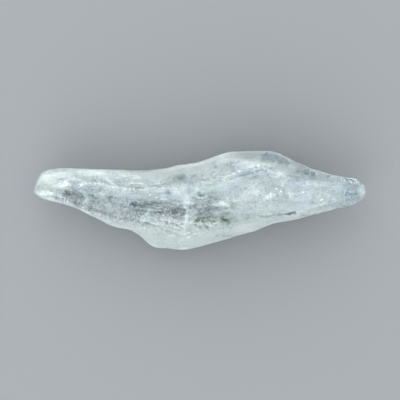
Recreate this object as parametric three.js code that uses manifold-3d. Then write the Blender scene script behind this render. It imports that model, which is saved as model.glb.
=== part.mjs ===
// A raw prasiolite crystal: one loose, broken piece of pale green quartz, 60 mm long, lying on
// its side. It tapers to both ends, and its thick middle swells to the back on the right and to
// the front on the left, so from above it is a slanted spindle.
//
// Long ridges run from end to end, and the body is the loft between them. Broken end faces,
// ledges and shell-shaped chips are then cut into it, and last the flat face that it rests on.
//
// Millimetres, +Z up, +X along the crystal, +Y to its back. The origin is under the middle of
// its bounding box, on the surface that it rests on.

import * as THREE from "three";
import { mergeVertices } from "three/addons/utils/BufferGeometryUtils.js";
import Module from "manifold-3d";

const wasm = await Module();
wasm.setup();

// ---- Driving dimensions -------------------------------------------------------------------

const LENGTH = 60; // end to end
const STATION_STEP = 1.1; // between the loft's cross-sections
const FACE_STEPS = 3; // strips on each long face, from ridge to ridge
const END_REACH = 1.5; // the loft runs past each end by this, and the end faces cut it back
const WAVE_HEIGHT = 0.3; // swells and hollows of the broken faces
const WAVE_LENGTH = 7; // along the crystal
const WAVES_AROUND = 12; // round each cross-section
const RIDGE_WAVE = 0.3; // share of a wave that bends a ridge: ridges stay straighter than faces
const SCOOP_DETAIL = 5; // how finely a shell-shaped chip is faceted
const FLAKE_COUNT = 64; // long shallow flakes off the ridges
const FLAKE_RADIUS = [5, 22]; // of the curved surface that a flake leaves, least and most
const FLAKE_DEPTH = [0.15, 0.65]; // least and most
const FLAKE_STRETCH = 1.9; // a flake's length along the crystal over its width
const FLAKE_SPAN = [-27, 27]; // where flakes lie along the crystal
const FLAKE_YAW = [-14, 14]; // how far a flake turns from the crystal's length, in degrees
const FLAKE_SEED = 7;
const OUTLINE_SLOPE = 0.45; // a ridge whose outward way has less rise than this is in the outline
const REST_SLOPE = -0.6; // and one with less than this faces the ground,
const REST_REACH = 14; // where it is this near the middle: the crystal rests on that stretch

// ---- Ridges -------------------------------------------------------------------------------
// Each is a broken line of [x, y, z] from the left end to the right. They are listed in order
// round the cross-section: over the top from back to front, then underneath from front to back.

const ridges = {
  backEdge: [
    [-30, 3.9, 6.0], [-28.4, 4.9, 6.1], [-26.6, 5.7, 6.2], [-24.6, 5.9, 6.3], [-22.5, 5.7, 6.0],
    [-10, 5.25, 5.0], [-6.2, 5.75, 5.2], [-4, 6.5, 4.8], [-0.8, 6.95, 5.0], [2.5, 8.05, 5.6],
    [5.6, 8.95, 5.2], [10.8, 9.05, 5.0], [13.2, 8.95, 5.2], [17.6, 6.85, 5.4], [20.5, 5.65, 5.2],
    [26.2, 4.7, 5.4], [28.4, 3.6, 5.5], [30, 2.6, 5.6],
  ],
  shoulder: [
    [-30, 4.2, 7.6], [-24, 4.9, 7.8], [-12, 4.4, 8.0], [-5, 4.9, 8.6], [1, 6.4, 9.2],
    [6, 7.4, 9.0], [11, 6.8, 9.4], [16, 5.5, 8.6], [21, 4.3, 7.4], [30, 2.5, 6.6],
  ],
  crest: [
    [-30, 2.4, 7.8], [-25, 2.5, 8.8], [-16, 2.3, 10.1], [-9, 1.8, 11.4], [-3, 1.2, 12.6],
    [3.7, 3.4, 13.0], [8.2, 4.7, 12.4], [12.9, 5.1, 11.4], [18, 3.9, 9.8], [24, 2.2, 8.0],
    [30, 1.7, 6.8],
  ],
  brow: [
    [-30, 1.2, 7.2], [-25, -0.2, 8.0], [-20.5, -1.4, 8.9], [-12, -2.9, 10.6], [-5, -3.2, 11.8],
    [1, -3.9, 11.4], [7, -3.0, 10.8], [17, -2.2, 8.6], [24, -0.6, 7.2], [30, 0.8, 6.4],
  ],
  frontEdge: [
    [-30, 0.3, 5.6], [-26.8, -0.4, 5.4], [-24.6, -0.95, 5.3], [-22.4, -1.6, 5.2],
    [-20.3, -2.6, 5.1], [-18.1, -3.65, 5.0], [-16.9, -4.45, 4.8], [-14.9, -5.15, 4.6],
    [-12.3, -5.6, 4.4], [-9.5, -8.1, 4.0], [-8.2, -8.75, 4.0],
    [-6, -8.8, 4.0], [-3, -9.2, 4.2], [0.3, -8.5, 4.4], [4.6, -7.4, 4.6], [8.9, -6.1, 4.6],
    [13.2, -4.3, 4.6], [16.5, -3.85, 4.8], [19.7, -3.1, 4.8], [24, -2.0, 5.0], [27.3, -1.3, 5.2],
    [30, 0.2, 5.2],
  ],
  keelFront: [
    [-30, 0.9, 3.6], [-24, 0.2, 2.5], [-17, -1.6, 1.3], [-11, -4.0, 0.5], [-5, -4.9, -0.4],
    [3, -4.3, -0.5], [10, -3.0, -0.2], [15, -2.0, 0.9], [22, -0.6, 2.3], [30, 0.6, 3.6],
  ],
  keelBack: [
    [-30, 3.2, 3.4], [-23, 3.2, 2.2], [-14, 2.4, 1.0], [-8, 0.9, -0.2], [0, 1.4, -0.6],
    [7, 2.3, -0.4], [12, 2.7, 0.3], [18, 2.6, 1.6], [24, 2.2, 2.7], [30, 2.1, 3.6],
  ],
  heel: [
    [-30, 4.7, 4.2], [-22, 5.0, 3.4], [-13, 4.6, 2.6], [-5, 5.2, 2.6], [2, 6.4, 2.2],
    [8, 7.4, 2.2], [14, 6.6, 2.6], [22, 3.9, 3.6], [30, 2.7, 4.4],
  ],
};

const UP = new THREE.Vector3(0, 0, 1);
const DEGREE = Math.PI / 180;

// ---- Helpers ------------------------------------------------------------------------------

// The point where a broken line of [x, y, z] crosses the plane at x. Past an end it stays level.
function ridgeAt(line, x) {
  const next = line.findIndex((point) => point[0] > x);
  if (next === 0) return new THREE.Vector2(line[0][1], line[0][2]);
  if (next === -1) return new THREE.Vector2(line.at(-1)[1], line.at(-1)[2]);
  const [a, b] = [line[next - 1], line[next]];
  const share = (x - a[0]) / (b[0] - a[0]);
  return new THREE.Vector2(
    THREE.MathUtils.lerp(a[1], b[1], share),
    THREE.MathUtils.lerp(a[2], b[2], share),
  );
}

// A repeatable value from -1 to 1 for each cell of a grid.
function cellValue(i, j) {
  const mixed = Math.sin(i * 127.1 + j * 311.7) * 43758.5453;
  return 2 * (mixed - Math.floor(mixed)) - 1;
}

// Smooth noise from -1 to 1. It repeats round the section after turn cells.
function smoothNoise(u, v, turn) {
  const [i, j] = [Math.floor(u), Math.floor(v)];
  const [fu, fv] = [THREE.MathUtils.smoothstep(u - i, 0, 1), THREE.MathUtils.smoothstep(v - j, 0, 1)];
  const corner = (di, dj) => cellValue(i + di, (j + dj) % turn);
  return THREE.MathUtils.lerp(
    THREE.MathUtils.lerp(corner(0, 0), corner(1, 0), fu),
    THREE.MathUtils.lerp(corner(0, 1), corner(1, 1), fu),
    fv,
  );
}

// A closed three.js geometry as a manifold-3d solid.
function solidOf(geometry) {
  const bare = geometry.clone();
  bare.deleteAttribute("normal");
  bare.deleteAttribute("uv");
  const merged = mergeVertices(bare);
  return new wasm.Manifold(
    new wasm.Mesh({
      numProp: 3,
      vertProperties: new Float32Array(merged.attributes.position.array),
      triVerts: new Uint32Array(merged.index.array),
    }),
  );
}

// A manifold-3d solid as a three.js geometry.
function geometryOf(solid) {
  const mesh = solid.getMesh();
  return new THREE.BufferGeometry()
    .setAttribute("position", new THREE.BufferAttribute(new Float32Array(mesh.vertProperties), 3))
    .setIndex(new THREE.BufferAttribute(new Uint32Array(mesh.triVerts), 1));
}

// ---- The body between the ridges ------------------------------------------------------------

// One cross-section: FACE_STEPS points on each face, pushed in or out by the waves.
function sectionAt(x) {
  const corners = Object.values(ridges).map((line) => ridgeAt(line, x));
  const middle = corners.reduce((sum, c) => sum.add(c), new THREE.Vector2());
  middle.divideScalar(corners.length);
  const points = [];
  corners.forEach((corner, k) => {
    const next = corners[(k + 1) % corners.length];
    for (let step = 0; step < FACE_STEPS; step++) {
      const across = step / FACE_STEPS;
      const point = corner.clone().lerp(next, across);
      const around = ((k + across) / corners.length) * WAVES_AROUND;
      const share = step === 0 ? RIDGE_WAVE : 1;
      const wave = WAVE_HEIGHT * smoothNoise(x / WAVE_LENGTH, around, WAVES_AROUND);
      const out = point.clone().sub(middle).normalize();
      points.push(point.addScaledVector(out, wave * share));
    }
  });
  return points.map((p) => [x, p.x, p.y]);
}

function body() {
  const half = LENGTH / 2 + END_REACH;
  const count = Math.round((2 * half) / STATION_STEP);
  const sections = Array.from({ length: count + 1 }, (_, i) => sectionAt(-half + (2 * half * i) / count));
  const around = sections[0].length;
  const positions = sections.flat(2);
  const faces = [];
  for (let i = 0; i < count; i++) {
    for (let j = 0; j < around; j++) {
      const [a, b] = [i * around + j, i * around + ((j + 1) % around)];
      const [c, d] = [a + around, b + around];
      if ((i + j) % 2) faces.push(a, b, c, b, d, c);
      else faces.push(a, b, d, a, d, c);
    }
  }
  // Each end is a fan about its middle.
  for (const [first, flip] of [[0, false], [count * around, true]]) {
    const ring = sections[first / around];
    const hub = positions.length / 3;
    const mean = (axis) => ring.reduce((sum, p) => sum + p[axis], 0) / around;
    positions.push(ring[0][0], mean(1), mean(2));
    for (let j = 0; j < around; j++) {
      const [a, b] = [first + j, first + ((j + 1) % around)];
      faces.push(...(flip ? [hub, a, b] : [hub, b, a]));
    }
  }
  const geometry = new THREE.BufferGeometry()
    .setAttribute("position", new THREE.Float32BufferAttribute(positions, 3))
    .setIndex(faces);
  return solidOf(geometry);
}

// ---- What is broken off it --------------------------------------------------------------------

// Half of space beyond a plane, as a block: the plane passes through point and faces out.
function beyond(point, out) {
  const size = 2 * LENGTH;
  const block = new THREE.BoxGeometry(size, size, size);
  const normal = new THREE.Vector3(...out).normalize();
  block.translate(0, 0, size / 2);
  block.applyQuaternion(new THREE.Quaternion().setFromUnitVectors(UP, normal));
  block.translate(...point);
  return solidOf(block);
}

// An ellipsoid, whose rounded scoop is what a shell-shaped fracture leaves. Its radii lie along
// the crystal, across the face and out of it.
function ellipsoid(at, radii, turn) {
  const ball = new THREE.IcosahedronGeometry(1, SCOOP_DETAIL);
  ball.scale(...radii);
  ball.applyQuaternion(turn);
  ball.translate(...at);
  return solidOf(ball);
}

// A chip or a long shallow ledge. Its length rises by pitch degrees, then turns about Z by yaw.
function chip({ at, radii, yaw, pitch = 0 }) {
  const angles = new THREE.Euler(0, -pitch * DEGREE, yaw * DEGREE, "ZYX");
  return ellipsoid(at, radii, new THREE.Quaternion().setFromEuler(angles));
}

// Repeatable numbers from 0 to 1.
function* randomNumbers(seed) {
  for (let state = seed; ; ) {
    state = (state + 0x6d2b79f5) | 0;
    let mixed = Math.imul(state ^ (state >>> 15), 1 | state);
    mixed = (mixed + Math.imul(mixed ^ (mixed >>> 7), 61 | mixed)) ^ mixed;
    yield ((mixed ^ (mixed >>> 14)) >>> 0) / 4294967296;
  }
}

// Where the loft's surface is at point j of the section at x, the way it faces there, and the
// way that the crystal runs along it.
function surfaceAt(x, j) {
  const here = sectionAt(x);
  const point = new THREE.Vector3(...here[j]);
  const along = new THREE.Vector3(...sectionAt(x + STATION_STEP)[j]).sub(point).normalize();
  const before = here[(j + here.length - 1) % here.length];
  const after = here[(j + 1) % here.length];
  const around = new THREE.Vector3(...after).sub(new THREE.Vector3(...before));
  return { point, along, out: around.cross(along).normalize() };
}

// Long shallow flakes at random places on the ridges, clear of the two that are the plan's
// outline and of the face that the crystal rests on.
function flakes() {
  const random = randomNumbers(FLAKE_SEED);
  const between = ([least, most]) => THREE.MathUtils.lerp(least, most, random.next().value);
  const made = [];
  while (made.length < FLAKE_COUNT) {
    const x = between(FLAKE_SPAN);
    const j = FACE_STEPS * Math.floor(between([0, Object.keys(ridges).length]));
    const [radius, depth, yaw] = [between(FLAKE_RADIUS), between(FLAKE_DEPTH), between(FLAKE_YAW)];
    const { point, along, out } = surfaceAt(x, j);
    const atOutline = Math.abs(out.z) < OUTLINE_SLOPE;
    const underneath = out.z < REST_SLOPE && Math.abs(x) < REST_REACH;
    if (atOutline || underneath) continue;
    along.applyAxisAngle(out, yaw * DEGREE);
    const across = out.clone().cross(along);
    const turn = new THREE.Quaternion().setFromRotationMatrix(
      new THREE.Matrix4().makeBasis(along, across, out),
    );
    const middle = point.addScaledVector(out, radius - depth);
    made.push(ellipsoid(middle.toArray(), [radius * FLAKE_STRETCH, radius, radius], turn));
  }
  return made;
}

const endFaces = [
  // left end
  { point: [-29.0, 4.0, 6], out: [-0.88, 0.46, 0.16] },
  { point: [-30, 1.6, 6], out: [-1, -0.12, -0.22] },
  { point: [-29.4, 0.55, 6], out: [-0.5, -0.8, 0.1] },
  { point: [-28.6, 2.6, 8.1], out: [-0.55, 0.1, 0.8] },
  { point: [-28.8, 2.2, 3.6], out: [-0.75, -0.2, -0.65] },
  // right end
  { point: [29.2, 3.0, 5.6], out: [0.55, 0.82, 0.15] },
  { point: [29.9, 2.0, 5.6], out: [0.95, 0.1, 0.22] },
  { point: [29.7, 0.6, 5.6], out: [0.9, -0.42, -0.12] },
  { point: [28.6, -0.6, 5.6], out: [0.5, -0.86, -0.1] },
  { point: [28.6, 1.6, 7.2], out: [0.5, 0.12, 0.84] },
  { point: [28.4, 1.4, 3.7], out: [0.62, 0.1, -0.76] },
];

const chips = [
  { at: [11.5, 9.9, 6.2], radii: [1.3, 1.15, 3.0], yaw: -8 },
  { at: [-21.2, 7.2, 8.2], radii: [3.2, 1.5, 2.4], yaw: 2 },
  { at: [-6.1, -9.7, 5.0], radii: [1.5, 0.95, 2.6], yaw: 4 },
  { at: [17.6, -5.2, 5.2], radii: [2.2, 1.5, 2.2], yaw: 8 },
  { at: [-13.6, -6.9, 4.2], radii: [2.4, 1.3, 2.2], yaw: -12 },
  { at: [22.6, 6.9, 7.2], radii: [3.4, 1.7, 2.6], yaw: -18 },
  { at: [2.2, -5.4, 13.6], radii: [4.2, 2.6, 2.9], yaw: 6 },
  { at: [-17.5, -4.2, 10.9], radii: [4.4, 2.4, 2.5], yaw: -20 },
  { at: [13.6, 7.9, 12.0], radii: [4.0, 2.2, 3.0], yaw: -24 },
  { at: [-6.5, 8.3, 2.0], radii: [5.0, 2.6, 2.6], yaw: 8 },
  { at: [9.5, 9.6, 1.8], radii: [4.6, 2.6, 2.4], yaw: 0 },
];

const ledges = [
  { at: [8.0, 3.2, 13.1], radii: [7.0, 1.5, 1.2], yaw: 13, pitch: -7 },
  { at: [12.2, -3.9, 10.5], radii: [7.5, 1.6, 1.5], yaw: 4, pitch: -10 },
  { at: [-19.0, -3.0, 9.4], radii: [7.5, 1.5, 1.4], yaw: -17, pitch: 9 },
  { at: [-22.5, 3.6, 9.6], radii: [6.0, 1.2, 0.9], yaw: 2, pitch: 6 },
  { at: [4.0, -7.4, 7.6], radii: [9.0, 1.0, 1.3], yaw: 9, pitch: 0 },
  { at: [20.5, 4.8, 8.4], radii: [6.0, 1.3, 0.9], yaw: -13, pitch: -13 },
  // underneath, clear of the stretch that it rests on
  { at: [-19.5, -1.2, 1.2], radii: [8.5, 1.5, 1.2], yaw: -15, pitch: -8 },
  { at: [19.0, -1.2, 1.1], radii: [8.0, 1.3, 1.2], yaw: 11, pitch: 9 },
  { at: [19.5, 2.6, 1.3], radii: [8.5, 1.6, 1.1], yaw: -6, pitch: 9 },
  { at: [0.5, 6.4, 1.5], radii: [8.0, 1.6, 1.2], yaw: 9, pitch: 0 },
  { at: [-19.0, 2.9, 0.9], radii: [8.0, 1.8, 1.2], yaw: -4, pitch: -7 },
];

// ---- The crystal --------------------------------------------------------------------------------

// Moves a geometry so that the origin is under the middle of its bounding box.
function centre(geometry) {
  geometry.computeBoundingBox();
  const { min, max } = geometry.boundingBox;
  return geometry.translate(-(min.x + max.x) / 2, -(min.y + max.y) / 2, -min.z);
}

function crystalGeometry() {
  let crystal = body();
  const cuts = [
    ...endFaces.map(({ point, out }) => beyond(point, out)),
    ...chips.map(chip),
    ...ledges.map(chip),
    ...flakes(),
    beyond([0, 0, 0], [0, 0, -1]), // the flat face that it rests on
  ];
  for (const cut of cuts) crystal = crystal.subtract(cut);
  return centre(geometryOf(crystal));
}

const prasiolite = new THREE.MeshStandardMaterial({
  color: 0xc8dcd6,
  roughness: 0.25,
  metalness: 0,
  transparent: true,
  opacity: 0.8,
});

const mesh = new THREE.Mesh(crystalGeometry(), prasiolite);
mesh.name = "prasiolite_crystal";

const group = new THREE.Group();
group.add(mesh);

export default group;
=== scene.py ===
"""The looks of a raw prasiolite crystal: a broken, half-milky, half-clear spindle of pale green
quartz, 60 mm long, lying on a pale floor. Lengths are metres unless a name ends in _mm.
"""

import math
import random

import bpy
import numpy as np
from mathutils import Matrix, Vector, noise
from mathutils.bvhtree import BVHTree


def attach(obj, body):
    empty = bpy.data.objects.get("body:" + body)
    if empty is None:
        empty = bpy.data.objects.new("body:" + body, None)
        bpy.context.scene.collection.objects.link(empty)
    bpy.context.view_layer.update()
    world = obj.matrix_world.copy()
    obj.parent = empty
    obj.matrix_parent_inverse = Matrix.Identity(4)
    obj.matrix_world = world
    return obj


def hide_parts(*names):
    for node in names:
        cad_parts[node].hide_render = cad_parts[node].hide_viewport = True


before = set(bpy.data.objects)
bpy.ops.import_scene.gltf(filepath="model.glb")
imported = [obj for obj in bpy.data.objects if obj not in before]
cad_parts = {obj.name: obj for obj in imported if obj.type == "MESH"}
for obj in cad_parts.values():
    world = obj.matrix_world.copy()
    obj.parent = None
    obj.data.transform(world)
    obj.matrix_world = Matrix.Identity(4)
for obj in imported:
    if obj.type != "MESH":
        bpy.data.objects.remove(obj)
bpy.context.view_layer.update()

# ==== The crystal ===========================================================================
# One broken piece of quartz. Its long faces are old conchoidal breaks: shallow dishes, ledges
# that run along it, fine ribs and scratches, and ridges nicked by handling. It is the CAD
# solid's own form, remeshed finely so that the fine relief can be carved into it.

MM = 0.001
SKIN_VOXEL = 0.17 * MM  # spacing of the fine mesh
SMOOTH_ROUNDS = 90  # rounds of smoothing, which wear the CAD solid's creases round


def add_node(tree, kind, settings=None, inputs=None):
    """Adds a node. inputs maps a socket's name or number to a value, a node or its socket."""
    node = tree.nodes.new(kind)
    for name, value in (settings or {}).items():
        setattr(node, name, value)
    for key, value in (inputs or {}).items():
        if isinstance(key, int):
            socket = node.inputs[key]
        else:
            socket = next(s for s in node.inputs if s.enabled and s.name == key)
        if isinstance(value, bpy.types.Node):
            value = next(s for s in value.outputs if s.enabled)
        if isinstance(value, bpy.types.NodeSocket):
            tree.links.new(value, socket)
        else:
            socket.default_value = value
    return node


def select_only(piece):
    """Makes a piece the only selected one, and the active one."""
    bpy.ops.object.select_all(action="DESELECT")
    piece.select_set(True)
    bpy.context.view_layer.objects.active = piece


def apply_nodes(piece, tree):
    """Runs a geometry node tree on a piece and keeps the result."""
    select_only(piece)
    modifier = piece.modifiers.new("nodes", "NODES")
    modifier.node_group = tree
    bpy.ops.object.modifier_apply(modifier=modifier.name)


node_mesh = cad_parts["prasiolite_crystal"].data
crystal = bpy.data.objects.new("crystal", node_mesh.copy())
bpy.context.scene.collection.objects.link(crystal)
select_only(crystal)
bpy.ops.object.mode_set(mode="EDIT")
bpy.ops.mesh.select_all(action="SELECT")
bpy.ops.mesh.remove_doubles(threshold=0.002 * MM)
bpy.ops.object.mode_set(mode="OBJECT")
crystal.data.materials.clear()
remesh = crystal.modifiers.new("fine mesh", "REMESH")
remesh.mode = "VOXEL"
remesh.voxel_size = SKIN_VOXEL
bpy.ops.object.modifier_apply(modifier=remesh.name)
soften = crystal.modifiers.new("worn soft", "SMOOTH")
soften.iterations = SMOOTH_ROUNDS
bpy.ops.object.modifier_apply(modifier=soften.name)

# The relief, as depths in mm. RAISED_MM lifts the whole skin first, which makes up for what the
# smoothing and the dishes take off it.
DISH_SIZE_MM = 4.6  # across a shallow dish
DISH_DEPTH_MM = 0.26
RIB_SPACING_MM = 0.55  # ribs that ring the middle of a dish, as on any glassy break
RIB_DEPTH_MM = 0.016
CHIP_SIZE_MM = 1.3  # across a small chip
CHIP_DEPTH_MM = 0.065
LEDGE_COUNT = 9.0  # ledges between the noise's lowest and highest
LEDGE_DEPTH_MM = 0.08
SCRATCH_DEPTH_MM = 0.035
NICK_DEPTH_MM = 0.1
RAISED_MM = 0.28
REST_CLEAR_MM = 0.5  # the relief fades out at this height, so the resting face stays flat

relief = bpy.data.node_groups.new("broken quartz relief", "GeometryNodeTree")
relief.interface.new_socket("Geometry", in_out="INPUT", socket_type="NodeSocketGeometry")
relief.interface.new_socket("Geometry", in_out="OUTPUT", socket_type="NodeSocketGeometry")
start = add_node(relief, "NodeGroupInput")
here = add_node(relief, "GeometryNodeInputPosition")
normal = add_node(relief, "GeometryNodeInputNormal")
place = add_node(relief, "ShaderNodeVectorMath", {"operation": "SCALE"}, {0: here, "Scale": 1 / MM})

# Everything is stretched along the crystal's length, and bent a little so that nothing is straight.
bend = add_node(relief, "ShaderNodeTexNoise", None, {"Vector": place, "Scale": 0.12, "Detail": 2.0})
bend_out = add_node(relief, "ShaderNodeVectorMath", {"operation": "SUBTRACT"},
                    {0: bend.outputs["Color"], 1: (0.5, 0.5, 0.5)})
bent = add_node(relief, "ShaderNodeVectorMath", {"operation": "MULTIPLY_ADD"},
                {0: bend_out, 1: (6.0, 6.0, 6.0), 2: place})
along = add_node(relief, "ShaderNodeVectorMath", {"operation": "MULTIPLY"}, {0: bent, 1: (0.4, 1.0, 1.0)})
long_way = add_node(relief, "ShaderNodeVectorMath", {"operation": "MULTIPLY"},
                    {0: bent, 1: (0.07, 1.0, 1.0)})

# Where the break is rough (1) and where it is glassy smooth (0).
rough_noise = add_node(relief, "ShaderNodeTexNoise", None, {"Vector": along, "Scale": 0.22, "Detail": 3.0})
rough = add_node(relief, "ShaderNodeMapRange", {"interpolation_type": "SMOOTHSTEP"},
                 {"Value": rough_noise.outputs[0],
                  "From Min": 0.42, "From Max": 0.62, "To Min": 0.12, "To Max": 1.0})

# A dish is deepest in its middle, and ribs ring it.
dish = add_node(relief, "ShaderNodeTexVoronoi", {"feature": "SMOOTH_F1"},
                {"Vector": along, "Scale": 1 / DISH_SIZE_MM, "Smoothness": 0.3})
dish_fall = add_node(relief, "ShaderNodeMapRange", {"interpolation_type": "SMOOTHSTEP"},
                     {"Value": dish.outputs["Distance"],
                      "From Min": 0.0, "From Max": 0.85, "To Min": 1.0, "To Max": 0.0})
dish_depth = add_node(relief, "ShaderNodeMath", {"operation": "MULTIPLY"}, {0: dish_fall, 1: DISH_DEPTH_MM})
rib_turn = add_node(relief, "ShaderNodeMath", {"operation": "MULTIPLY"},
                    {0: dish.outputs["Distance"], 1: 2 * math.pi * DISH_SIZE_MM / RIB_SPACING_MM})
rib_wave = add_node(relief, "ShaderNodeMath", {"operation": "SINE"}, {0: rib_turn})
rib_part = add_node(relief, "ShaderNodeMath", {"operation": "MULTIPLY"}, {0: rib_wave, 1: rough})
rib_depth = add_node(relief, "ShaderNodeMath", {"operation": "MULTIPLY"}, {0: rib_part, 1: RIB_DEPTH_MM})

chip = add_node(relief, "ShaderNodeTexVoronoi", {"feature": "F1"},
                {"Vector": along, "Scale": 1 / CHIP_SIZE_MM})
chip_fall = add_node(relief, "ShaderNodeMapRange", None,
                     {"Value": chip.outputs["Distance"],
                      "From Min": 0.0, "From Max": 0.8, "To Min": 1.0, "To Max": 0.0})
chip_part = add_node(relief, "ShaderNodeMath", {"operation": "MULTIPLY"}, {0: chip_fall, 1: rough})
chip_depth = add_node(relief, "ShaderNodeMath", {"operation": "MULTIPLY"}, {0: chip_part, 1: CHIP_DEPTH_MM})

# Ledges: a smooth swell cut into steps, flat on top and steep at the riser.
swell = add_node(relief, "ShaderNodeTexNoise", None, {"Vector": long_way, "Scale": 0.16, "Detail": 2.0})
swell_steps = add_node(relief, "ShaderNodeMath", {"operation": "MULTIPLY"},
                       {0: swell.outputs[0], 1: LEDGE_COUNT})
step_floor = add_node(relief, "ShaderNodeMath", {"operation": "FLOOR"}, {0: swell_steps})
step_rest = add_node(relief, "ShaderNodeMath", {"operation": "SUBTRACT"}, {0: swell_steps, 1: step_floor})
riser = add_node(relief, "ShaderNodeMapRange", {"interpolation_type": "SMOOTHSTEP"},
                 {"Value": step_rest, "From Min": 0.7, "From Max": 1.0})
step = add_node(relief, "ShaderNodeMath", {"operation": "ADD"}, {0: step_floor, 1: riser})
step_share = add_node(relief, "ShaderNodeMath", {"operation": "SUBTRACT"}, {0: step, 1: LEDGE_COUNT * 0.3})
ledge_depth = add_node(relief, "ShaderNodeMath", {"operation": "MULTIPLY"},
                       {0: step_share, 1: LEDGE_DEPTH_MM})

scratch = add_node(relief, "ShaderNodeTexNoise", None, {"Vector": long_way, "Scale": 1.6, "Detail": 3.0})
scratch_depth = add_node(relief, "ShaderNodeMath", {"operation": "MULTIPLY"},
                         {0: scratch.outputs[0], 1: SCRATCH_DEPTH_MM})

# Ridges stand proud of the mean of their neighbours. They are nicked, and frosted by wear.
mean_place = add_node(relief, "GeometryNodeBlurAttribute", {"data_type": "FLOAT_VECTOR"},
                      {"Value": place, "Iterations": 14})
proud_way = add_node(relief, "ShaderNodeVectorMath", {"operation": "SUBTRACT"}, {0: place, 1: mean_place})
proud = add_node(relief, "ShaderNodeVectorMath", {"operation": "DOT_PRODUCT"}, {0: proud_way, 1: normal})
worn = add_node(relief, "ShaderNodeMapRange", {"interpolation_type": "SMOOTHSTEP"},
                {"Value": proud.outputs["Value"], "From Min": 0.03, "From Max": 0.12})
nick_noise = add_node(relief, "ShaderNodeTexNoise", None, {"Vector": along, "Scale": 1.1, "Detail": 2.0})
nick = add_node(relief, "ShaderNodeMapRange", None,
                {"Value": nick_noise.outputs[0], "From Min": 0.45, "From Max": 0.75})
nick_part = add_node(relief, "ShaderNodeMath", {"operation": "MULTIPLY"}, {0: nick, 1: worn})
nick_depth = add_node(relief, "ShaderNodeMath", {"operation": "MULTIPLY"}, {0: nick_part, 1: NICK_DEPTH_MM})

depth = dish_depth
for part in (rib_depth, chip_depth, ledge_depth, scratch_depth, nick_depth):
    depth = add_node(relief, "ShaderNodeMath", {"operation": "ADD"}, {0: depth, 1: part})
depth = add_node(relief, "ShaderNodeMath", {"operation": "SUBTRACT"}, {0: depth, 1: RAISED_MM})
height = add_node(relief, "ShaderNodeSeparateXYZ", None, {0: place})
off_rest = add_node(relief, "ShaderNodeMapRange", {"interpolation_type": "SMOOTHSTEP"},
                    {"Value": height.outputs["Z"], "From Min": 0.02, "From Max": REST_CLEAR_MM})
real_depth = add_node(relief, "ShaderNodeMath", {"operation": "MULTIPLY"}, {0: depth, 1: off_rest})
inward = add_node(relief, "ShaderNodeMath", {"operation": "MULTIPLY"}, {0: real_depth, 1: -MM})
offset = add_node(relief, "ShaderNodeVectorMath", {"operation": "SCALE"}, {0: normal, "Scale": inward})
carved = add_node(relief, "GeometryNodeSetPosition", None, {"Geometry": start, "Offset": offset})
worn_kept = add_node(relief, "GeometryNodeStoreNamedAttribute", {"data_type": "FLOAT", "domain": "POINT"},
                     {"Geometry": carved, "Name": "worn", "Value": worn})
add_node(relief, "NodeGroupOutput", None, {0: worn_kept})
apply_nodes(crystal, relief)
select_only(crystal)
bpy.ops.object.shade_smooth()

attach(crystal, "root")
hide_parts("prasiolite_crystal")


def linear(hex_colour):
    """An sRGB hex colour as linear red, green, blue and alpha."""
    parts = [int(hex_colour[i : i + 2], 16) / 255 for i in (1, 3, 5)]
    return [p / 12.92 if p <= 0.04045 else ((p + 0.055) / 1.055) ** 2.4 for p in parts] + [1.0]


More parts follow.
